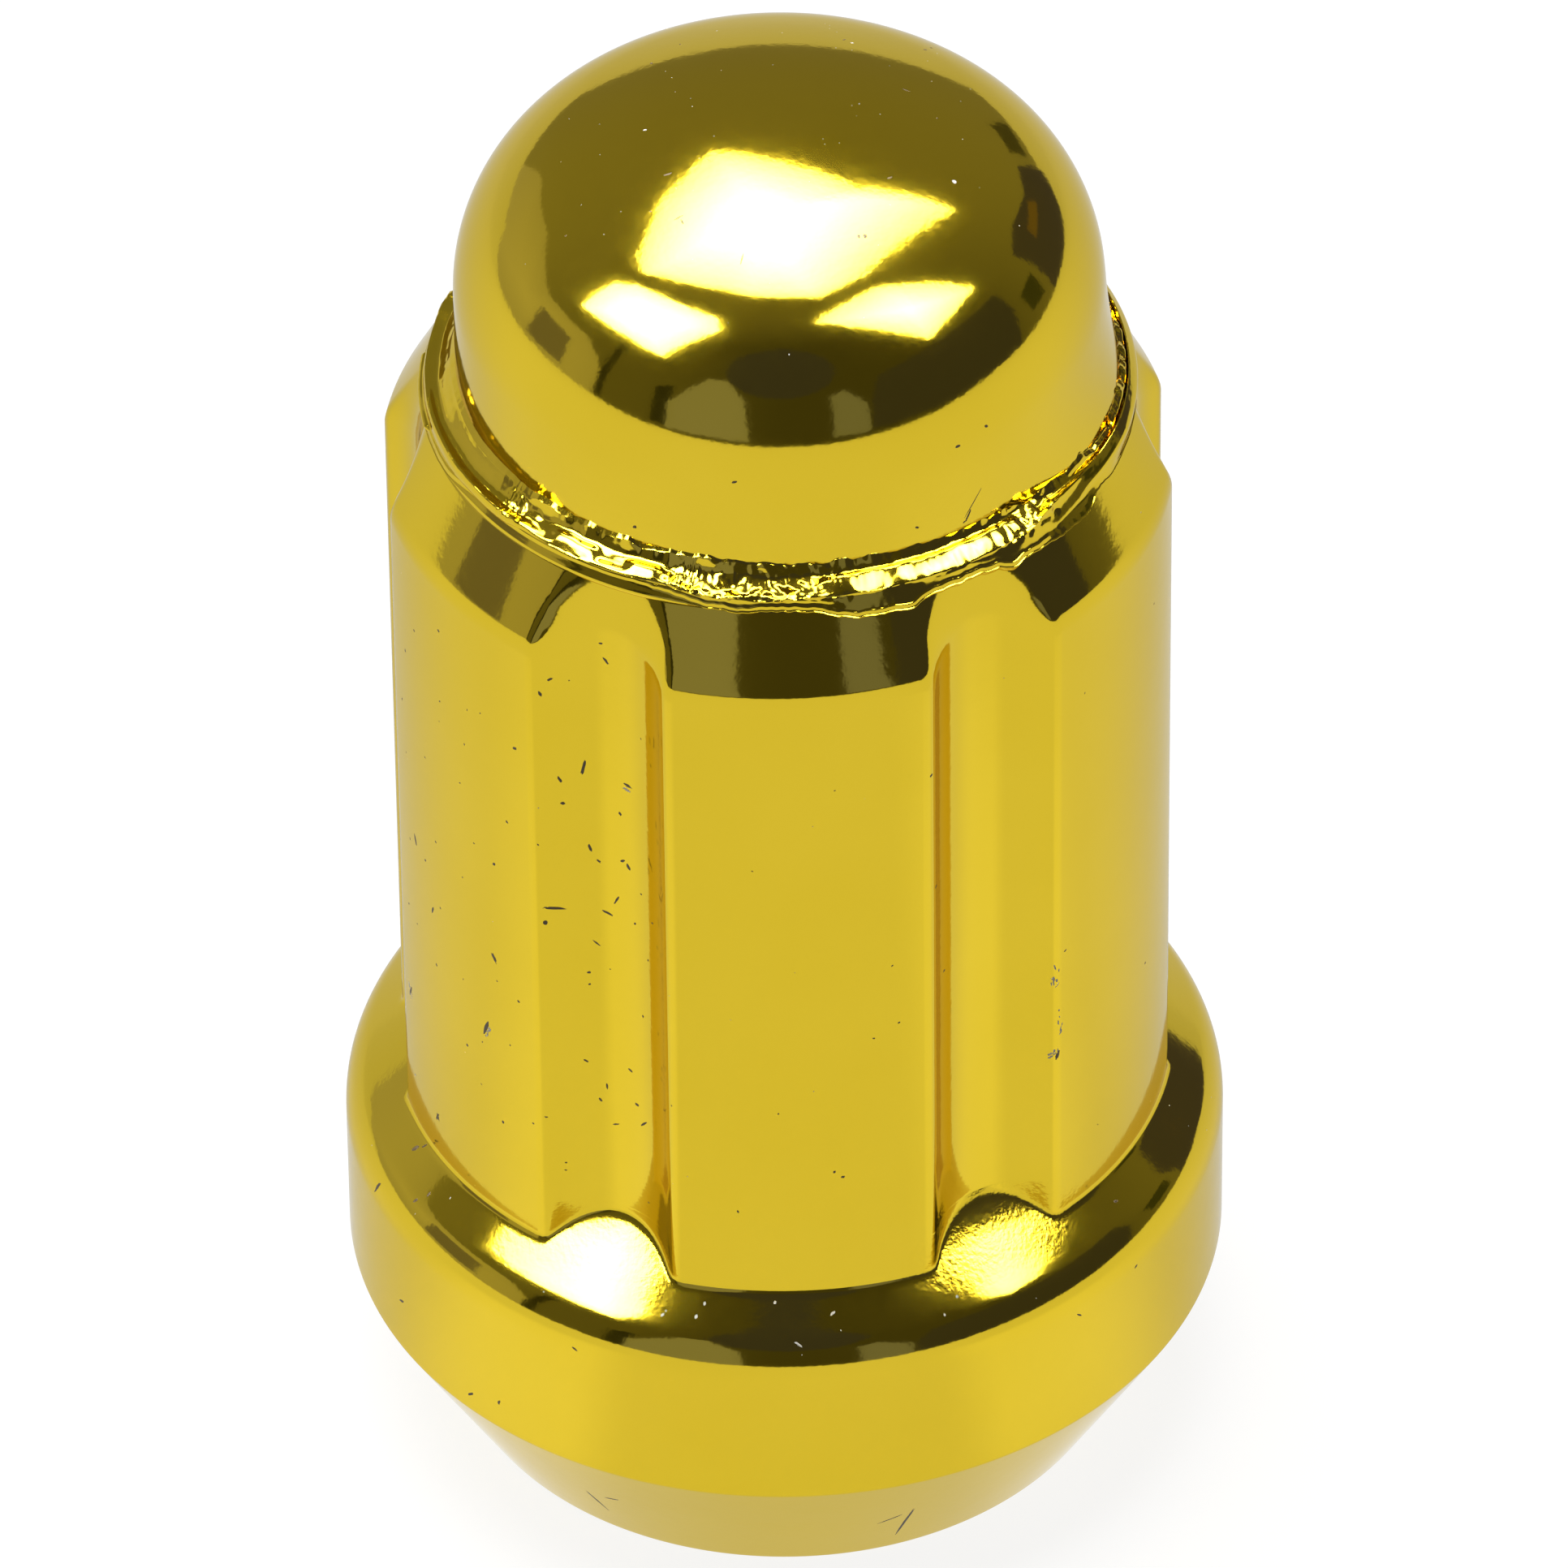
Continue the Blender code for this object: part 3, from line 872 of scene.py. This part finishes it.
DUST = (
    # the same columns as the nicks on the side
    (-4.4, 10.66, 0.08, 20, 0.06), (3.7, 10.43, 0.16, 25, 0.05), (-1.2, 9.90, 0.19, -30, 0.05),
    (-14.4, 10.56, 0.07, 80, 0.06), (-15.3, 10.31, 0.08, 60, 0.07), (-20.0, 10.24, 0.10, 30, 0.05),
    (21.5, 10.30, 0.07, 10, 0.05), (19.0, 10.05, 0.06, 70, 0.05), (-74.0, 12.4, 0.12, 15, 0.05),
)
DOME_DUST = (
    # the same columns as the nicks on the dome
    (66.5, 4.91, 0.13, 50, 0.11), (-92.0, 3.28, 0.10, 80, 0.05), (149.2, 4.34, 0.09, 20, 0.05),
)
SCUFFS = (
    # the same columns as the nicks on the side
    (-75.2, 15.18, 0.44, -59, 0.14), (41.0, 19.20, 0.72, 80, 0.20), (41.6, 17.60, 0.85, 84, 0.22),
    (40.6, 16.60, 0.30, 60, 0.16), (-28.0, 26.60, 0.22, -11, 0.05), (-51.3, 16.95, 0.45, 69, 0.07),
)


def first_hit(trees, start, towards, lift):
    """First point of the finished pieces that a ray meets, raised off the surface by a lift."""
    best = None
    for tree in trees:
        place, normal, face, distance = tree.ray_cast(start, towards)
        if place is not None and (best is None or distance < best[0]):
            best = (distance, place, normal)
    return best[1] + best[2] * lift


def side_place(trees, degrees, height):
    """Places round a point on the side of the nut, by millimetres to the east and up."""
    def place(east, up, lift):
        turn = math.radians(degrees) + east / (land_radius / MM)
        outward = Vector(ring_point(turn, 1.0, 0.0))
        level = Vector((0.0, 0.0, (height + up) * MM))
        return first_hit(trees, outward * 2 * flange_radius + level, -outward, lift)
    return place


def top_place(trees, degrees, reach):
    """Places round a point on the crown of the dome, by millimetres to the east and inwards."""
    def place(east, inward, lift):
        turn = math.radians(degrees) + east / reach
        above = Vector(ring_point(turn, (reach - inward) * MM, 2 * BODY_HEIGHT))
        return first_hit(trees, above, Vector((0.0, 0.0, -1.0)), lift)
    return place


def tilted(along, across, tilt):
    """A place along and across a mark, as places to the east and up."""
    lean = math.radians(tilt)
    return (along * math.cos(lean) - across * math.sin(lean),
            along * math.sin(lean) + across * math.cos(lean))


def add_fleck(mesh, place, length, tilt, width, seed):
    """One thin closed fleck, ragged round its rim, that lies on the surface along its tilt."""
    inner = []
    outer = []
    for step in range(FLECK_SIDES):
        turn = 2 * math.pi * step / FLECK_SIDES
        rough = 1 + 0.55 * noise.noise(Vector((2.3 * math.cos(turn), 2.3 * math.sin(turn), seed)))
        east, up = tilted(length / 2 * math.cos(turn) * rough,
                          width / 2 * math.sin(turn) * rough, tilt)
        outer.append(mesh.verts.new(place(east, up, 0.3 * FLECK_LIFT)))
        inner.append(mesh.verts.new(place(east / 2, up / 2, FLECK_LIFT)))
    top = mesh.verts.new(place(0.0, 0.0, 1.2 * FLECK_LIFT))
    under = mesh.verts.new(place(0.0, 0.0, -4 * FLECK_LIFT))
    for index in range(FLECK_SIDES):
        following = (index + 1) % FLECK_SIDES
        mesh.faces.new((top, inner[index], inner[following]))
        mesh.faces.new((inner[index], outer[index], outer[following], inner[following]))
        mesh.faces.new((under, outer[following], outer[index]))


def fleck_piece(name, trees, side_marks, top_marks, material):
    """Piece of flecks for marks on the side of the nut and on the crown of its dome."""
    mesh = bmesh.new()
    for index, (degrees, height, length, tilt, width) in enumerate(side_marks):
        add_fleck(mesh, side_place(trees, degrees, height), length, tilt, width, 3.7 * index)
    for index, (degrees, reach, length, tilt, width) in enumerate(top_marks):
        add_fleck(mesh, top_place(trees, degrees, reach), length, tilt, width, 4.9 * index)
    return mesh_piece(name, mesh, material)


def random_marks(chance, count, degrees, places, sizes):
    """Small marks scattered between two angles and between two heights or distances."""
    marks = []
    for index in range(count):
        size = chance.uniform(*sizes)
        marks.append((chance.uniform(*degrees), chance.uniform(*places), size,
                      chance.uniform(-90, 90), size * chance.uniform(0.5, 0.8)))
    return marks


def make_nicks(trees, material):
    """Small dark nicks, most of them on the left land and flute, where the photograph has them."""
    chance = random.Random(12)
    marks = list(NICKS)
    for count, degrees in ((46, (-76, -22)), (16, (-20, 60)), (26, (62, 284))):
        marks += random_marks(chance, count, degrees, (12.5, 30.5), (0.05, 0.11))
    crown = list(DOME_NICKS) + random_marks(chance, 8, (90, 330), (2.0, 6.5), (0.05, 0.12))
    return fleck_piece("plating_nicks", trees, marks, crown, material)


def make_scuffs(trees, material):
    """Pale rubbed spots, each a cluster of small flecks."""
    chance = random.Random(31)
    marks = []
    for degrees, height, length, tilt, width in SCUFFS:
        for index in range(SCUFF_FLECKS):
            along = chance.uniform(-0.5, 0.5) * length
            across = chance.uniform(-0.5, 0.5) * width
            east, up = tilted(along, across, tilt)
            marks.append((degrees + math.degrees(east / (land_radius / MM)), height + up,
                          chance.uniform(0.06, 0.18), tilt + chance.uniform(-40, 40),
                          chance.uniform(0.03, 0.06)))
    return fleck_piece("plating_scuffs", trees, marks, (), material)


def make_dust(trees, material):
    """Pale specks of dust on the dome and the flange."""
    chance = random.Random(8)
    side = list(DUST)
    side += random_marks(chance, 14, (-80, 80), (9.4, 10.8), (0.025, 0.05))
    side += random_marks(chance, 30, (-180, 180), (12.0, 33.0), (0.02, 0.04))
    crown = list(DOME_DUST) + random_marks(chance, 60, (-180, 180), (1.5, 7.2), (0.015, 0.035))
    return fleck_piece("dust_specks", trees, side, crown, material)


# Finishes

def plating(name, wear):
    """Gold-tinted lacquer over bright plating, with uneven tint, haze, orange peel and grit."""
    material, tree, shader, place = surface_material(name)
    shader["Metallic"].default_value = 1.0
    shader["Specular Tint"].default_value = (0.91, 0.88, 0.74, 1.0)
    tint = add_node(tree, "ShaderNodeMix", {
        "Factor": add_noise(tree, place, 160.0, 3.0),
        "A": (0.640, 0.462, 0.021, 1.0),
        "B": (0.690, 0.505, 0.033, 1.0),
    }, data_type="RGBA")
    tree.links.new(tint.outputs["Result"], shader["Base Color"])

    run_out = add_node(tree, "ShaderNodeAttribute", {}, attribute_name="run_out").outputs["Fac"]
    haze = times(tree, add_noise(tree, place, 2600.0, 2.0), 0.05)
    gloss = plus(tree, haze, 0.05 + 0.06 * wear)
    tree.links.new(plus(tree, gloss, times(tree, run_out, 0.07)), shader["Roughness"])

    peel = times(tree, add_noise(tree, place, 950.0, 2.0), 0.004)
    sway = times(tree, add_noise(tree, place, 260.0, 1.0), 0.010)
    grain = times(tree, add_noise(tree, place, 6500.0, 1.0), 0.0010)
    grit = times(tree, add_noise(tree, place, 7500.0, 3.0), 0.010)
    height = plus(tree, plus(tree, peel, sway), plus(tree, grain, times(tree, grit, run_out)))
    bump = add_node(tree, "ShaderNodeBump", {"Strength": 1.0, "Distance": MM, "Height": height})
    tree.links.new(bump.outputs[0], shader["Normal"])
    return material


def plain_finish(name, colour, metallic, roughness):
    """Material of one colour with a fine mottle in its roughness."""
    material, tree, shader, place = surface_material(name)
    shader["Base Color"].default_value = colour
    shader["Metallic"].default_value = metallic
    mottle = times(tree, add_noise(tree, place, 9000.0, 2.0), 0.3)
    tree.links.new(plus(tree, mottle, roughness - 0.15), shader["Roughness"])
    return material


# Studio: three softboxes and plain things round the table, placed where the dome mirrors them

def direction(azimuth, elevation):
    """Unit vector at an azimuth from the camera's side towards +X, and an elevation."""
    turn = math.radians(azimuth) + CAMERA_TURN
    rise = math.radians(elevation)
    return Vector((math.cos(rise) * math.sin(turn), -math.cos(rise) * math.cos(turn),
                   math.sin(rise)))


def glow_material(name, colour, strength):
    """Plain light panel; the mesh attribute glow dims it towards its edges."""
    material, tree, surface = stage_material(name)
    dim = add_node(tree, "ShaderNodeAttribute", {}, attribute_name="glow").outputs["Fac"]
    lamp = add_node(tree, "ShaderNodeEmission",
                    {"Color": colour, "Strength": times(tree, dim, strength)})
    tree.links.new(lamp.outputs[0], surface)
    return material


LENS_RIM = [(21 * math.sin(turn), 38 + 15 * math.cos(turn))
            for turn in (2 * math.pi * step / 32 for step in range(32))]
WHITE = (1.0, 1.0, 1.0)
PANELS = (
    # name, corners as (azimuth, elevation), direction of the middle, distance in metres,
    # strength, colour, share of the light at the rim
    ("overhead_softbox",
     [(-105, 60), (-143, 55), (-165, 48), (-175, 52), (155, 57), (135, 46), (115, 71), (90, 78),
      (60, 80), (0, 86), (-60, 83), (-90, 79)], (-172, 70), 0.40, 55.0, WHITE, 0.18),
    ("left_softbox",
     [(-86, 32), (-90, 42), (-94, 50), (-92, 57), (-42, 66), (-34, 60), (-47, 35)],
     (-66, 48), 0.42, 60.0, WHITE, 0.35),
    ("right_softbox",
     [(24, 67), (34, 70), (91, 69), (91, 37), (61, 34), (49, 52), (41, 59)],
     (70, 52), 0.42, 40.0, WHITE, 0.30),
    ("lens", LENS_RIM, (0, 38), 0.70, 1.0, (0.055, 0.056, 0.20), 1.0),
    ("left_card", [(-38, -4), (-38, 11), (-27, 30), (-20, 32), (-12, 20), (-10, -5)],
     (-25, 10), 0.72, 1.0, (0.31, 0.33, 0.85), 1.0),
    ("right_card", [(17, -4), (17, 22), (22, 25), (26, 19), (29, 14), (29, -4)],
     (23, 10), 0.72, 1.0, (0.22, 0.24, 0.75), 1.0),
    ("left_stand", [(-64, -2), (-63, 31), (-60.5, 31), (-61, -2)],
     (-62, 14), 0.74, 1.0, (0.03, 0.03, 0.028), 1.0),
    ("front_stand", [(-43, -3), (-43, 18), (-37, 22), (-38, -3)],
     (-40, 8), 0.74, 1.0, (0.035, 0.036, 0.034), 1.0),
    ("left_box", [(-95, 0), (-95, 15), (-79, 16), (-78, 1)],
     (-86, 8), 0.76, 1.0, (0.2, 0.19, 0.4), 1.0),
    ("white_card",
     [(-147, -3), (-141, 21), (-120, 29), (-98, 21), (-74, 23), (-68, 18), (-64, 12), (-64, -3)],
     (-104, 10), 0.95, 1.0, (0.56, 0.55, 0.75), 0.8),
    ("cabinet", [(110, -2), (110, 26), (122, 28), (133, 20), (142, 18), (142, -2)],
     (125, 10), 0.80, 1.0, (0.065, 0.062, 0.2), 1.0),
    ("warm_box", [(119, 15), (121, 20), (131, 19), (131, 14)],
     (125, 17), 0.76, 1.0, (0.16, 0.115, 0.10), 1.0),
    ("far_box", [(144, 10), (146, 18), (154, 18), (153, 9)],
     (149, 14), 0.80, 1.0, (0.07, 0.07, 0.07), 1.0),
    ("small_box", [(98, 4), (97, 14), (107, 15), (106, 3)],
     (102, 9), 0.80, 1.0, (0.05, 0.055, 0.05), 1.0),
    ("dark_curtain", [(30, -3), (31, 14), (36, 27), (60, 31), (92, 27), (92, 14), (88, -2)],
     (60, 12), 0.90, 1.0, (0.055, 0.055, 0.16), 1.0),
)


def make_panel(name, corners, middle, distance, strength, colour, rim_share):
    """Flat panel seen from the dome through the given corner directions; only reflections see it."""
    towards = direction(*middle)
    mesh = bmesh.new()
    glow = mesh.verts.layers.float.new("glow")
    hub = mesh.verts.new(dome_middle + towards * distance)
    hub[glow] = 1.0
    rim = []
    for corner in corners:
        ray = direction(*corner)
        vertex = mesh.verts.new(dome_middle + ray * distance / ray.dot(towards))
        vertex[glow] = rim_share
        rim.append(vertex)
    for first, second in zip(rim, rim[1:] + rim[:1]):
        mesh.faces.new((hub, first, second))
    panel = mesh_piece(name, mesh, glow_material(name, colour + (1.0,), strength))
    panel.visible_camera = False
    panel.visible_diffuse = False
    panel.visible_shadow = False


def add_forward(tree, place):
    """How far a place or direction lies towards the camera's side."""
    node = add_node(tree, "ShaderNodeVectorMath", {0: place, 1: direction(0, 0)},
                    operation="DOT_PRODUCT")
    return node.outputs["Value"]


def mirrored_table_with_painted_shade(tree):
    """Light of the table as the plating mirrors it: fullest in front of the nut, weaker behind, with
    a painted shadow behind and close behind its foot and painted light beside and just in front of
    it.
    """
    place = tree.nodes.new("ShaderNodeTexCoord").outputs["Object"]
    away = add_node(tree, "ShaderNodeVectorMath", {0: place}, operation="LENGTH").outputs["Value"]
    facing = add_math(tree, "DIVIDE", add_forward(tree, place), away)
    # Painted shadow: the table behind the nut is dimmer than beside and in front of it.
    level = add_range(tree, facing, -0.95, 0.0, 0.58, 0.81)
    # Painted bounce light: the table is brighter to the front left and right of the nut, out to
    # about 5 cm.
    aside = times(tree, add_range(tree, facing, 0.05, 0.5, 0.0, 0.155),
                  add_range(tree, facing, 0.74, 0.89, 1.0, 0.0))
    aside = times(tree, aside, add_range(tree, away, 0.035, 0.055, 1.0, 0.0))
    aside = times(tree, aside, add_range(tree, away, 0.012, 0.018, 0.3, 1.0))
    # Painted light on the table just in front of the nut.
    painted_front_light = times(tree, add_range(tree, away, 0.014, 0.036, 0.02, 0.0),
                       add_range(tree, facing, 0.0, 0.6, 0.0, 1.0))
    # Painted contact shadow on the table close behind the nut.
    painted_back_shadow = times(tree, add_range(tree, away, 0.014, 0.028, -0.16, 0.0),
                      add_range(tree, facing, -0.2, 0.5, 1.0, 0.0))
    return plus(tree, plus(tree, level, aside), plus(tree, painted_front_light, painted_back_shadow))


def make_floor():
    """White table top that sweeps up behind the nut."""
    outline = [(TABLE_FRONT, 0.0), (TABLE_BACK, 0.0)]
    for step in range(1, SWEEP_STEPS + 1):
        angle = SWEEP_ANGLE * step / SWEEP_STEPS
        outline.append((TABLE_BACK + SWEEP_RADIUS * math.sin(angle),
                        SWEEP_RADIUS * (1 - math.cos(angle))))
    mesh = bmesh.new()
    rows = [[mesh.verts.new((x, y, z)) for x in TABLE_EDGES] for y, z in outline]
    for lower, upper in zip(rows, rows[1:]):
        for index in range(len(TABLE_EDGES) - 1):
            mesh.faces.new((lower[index], lower[index + 1], upper[index + 1], upper[index]))
    material, tree, surface = stage_material("white_table")
    paint = add_node(tree, "ShaderNodeBsdfDiffuse", {"Color": (0.14, 0.14, 0.14, 1.0)})
    path = tree.nodes.new("ShaderNodeLightPath").outputs
    # Reflections see the table with painted shadow and painted light around the nut; the camera sees
    # it evenly white, with the fill light's own shadow.
    mirrored = times(tree, mirrored_table_with_painted_shade(tree), path["Is Glossy Ray"])
    seen = times(tree, path["Is Camera Ray"], 0.88)
    lamp = add_node(tree, "ShaderNodeEmission", {"Strength": plus(tree, seen, mirrored)})
    both = add_node(tree, "ShaderNodeAddShader", {0: paint.outputs[0], 1: lamp.outputs[0]})
    choose = add_node(tree, "ShaderNodeMixShader", {
        0: tree.nodes.new("ShaderNodeNewGeometry").outputs["Backfacing"],
        1: both.outputs[0],
        2: tree.nodes.new("ShaderNodeBsdfTransparent").outputs[0],
    })
    tree.links.new(choose.outputs[0], surface)
    mesh_piece("floor", mesh, material)


def make_room():
    """World: white behind the nut for the camera, and a dim studio for everything else."""
    world = bpy.data.worlds.new("studio")
    bpy.context.scene.world = world
    world.use_nodes = True
    tree = world.node_tree
    tree.nodes.clear()
    place = tree.nodes.new("ShaderNodeTexCoord").outputs["Generated"]
    towards = add_node(tree, "ShaderNodeSeparateXYZ", {0: place}).outputs
    back_wall = add_range(tree, add_forward(tree, place), -0.9, 0.55, 0.25, 0.068)
    left_wall = add_range(tree, towards["X"], -0.95, 0.0, 0.07, 0.0)
    ceiling = add_range(tree, towards["Z"], 0.78, 0.97, 0.0, 0.07)
    room = add_node(tree, "ShaderNodeBackground", {
        "Color": (1.0, 0.97, 0.93, 1.0),
        "Strength": plus(tree, back_wall, plus(tree, left_wall, ceiling)),
    })
    white = add_node(tree, "ShaderNodeBackground",
                     {"Color": (1.0, 1.0, 1.0, 1.0), "Strength": 1.0})
    choose = add_node(tree, "ShaderNodeMixShader", {
        0: tree.nodes.new("ShaderNodeLightPath").outputs["Is Camera Ray"],
        1: room.outputs[0],
        2: white.outputs[0],
    })
    add_node(tree, "ShaderNodeOutputWorld", {"Surface": choose.outputs[0]})


def make_fill_light():
    """Soft light that gives the nut its shadow on the table; reflections don't see it."""
    lamp = bpy.data.lights.new("fill", "AREA")
    lamp.shape = "DISK"
    lamp.size = 0.7
    lamp.energy = 9.0
    fill = bpy.data.objects.new("fill", lamp)
    fill.location = FILL_PLACE
    fill.rotation_euler = FILL_PLACE.to_track_quat("Z", "Y").to_euler()
    fill.visible_glossy = False
    bpy.context.scene.collection.objects.link(fill)


def make_camera():
    """Camera at the photograph's place, aimed and rolled as it was."""
    forward = -direction(0, math.degrees(CAMERA_ELEVATION))
    level = Vector((math.cos(CAMERA_TURN), math.sin(CAMERA_TURN), 0.0))
    upright = level.cross(forward)
    right = level * math.cos(CAMERA_ROLL) + upright * math.sin(CAMERA_ROLL)
    up = upright * math.cos(CAMERA_ROLL) - level * math.sin(CAMERA_ROLL)
    aside = (IMAGE_PIXELS / 2 - AIM_PIXEL) / FOCAL_PIXELS * CAMERA_DISTANCE
    place = Vector((0.0, 0.0, CAMERA_AIM_HEIGHT)) - forward * CAMERA_DISTANCE + right * aside
    camera = bpy.data.cameras.new("camera")
    camera.sensor_width = SENSOR_WIDTH
    camera.lens = FOCAL_PIXELS / IMAGE_PIXELS * SENSOR_WIDTH
    camera.clip_start = 0.01
    camera.clip_end = 10.0
    holder = bpy.data.objects.new("camera", camera)
    bpy.context.scene.collection.objects.link(holder)
    turned = Matrix((right, up, -forward)).transposed().to_4x4()
    holder.matrix_world = Matrix.Translation(place) @ turned
    bpy.context.scene.camera = holder


def main():
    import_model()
    bpy.context.scene.view_settings.view_transform = "Standard"

    gold = plating("gold_plate", 0.0)
    weld_gold = plating("gold_plate_weld", 0.2)
    body = make_body(gold)
    thread = make_thread(weld_gold)
    cap = make_cap(gold)
    weld = make_weld(weld_gold)
    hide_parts("nut_body")
    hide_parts("dome_cap")
    depsgraph = bpy.context.evaluated_depsgraph_get()
    trees = [BVHTree.FromObject(piece, depsgraph) for piece in (body, cap)]
    nicks = make_nicks(trees, plain_finish("bare_nick", (0.07, 0.045, 0.012, 1.0), 0.3, 0.5))
    scuffs = make_scuffs(trees, plain_finish("rubbed_spot", (0.80, 0.76, 0.66, 1.0), 0.0, 0.6))
    dust = make_dust(trees, plain_finish("dust", (0.70, 0.69, 0.64, 1.0), 0.0, 0.7))
    for piece in (body, thread, cap, weld, nicks, scuffs, dust):
        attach(piece, "root")

    make_floor()
    make_room()
    for panel in PANELS:
        make_panel(*panel)
    make_fill_light()
    make_camera()


main()
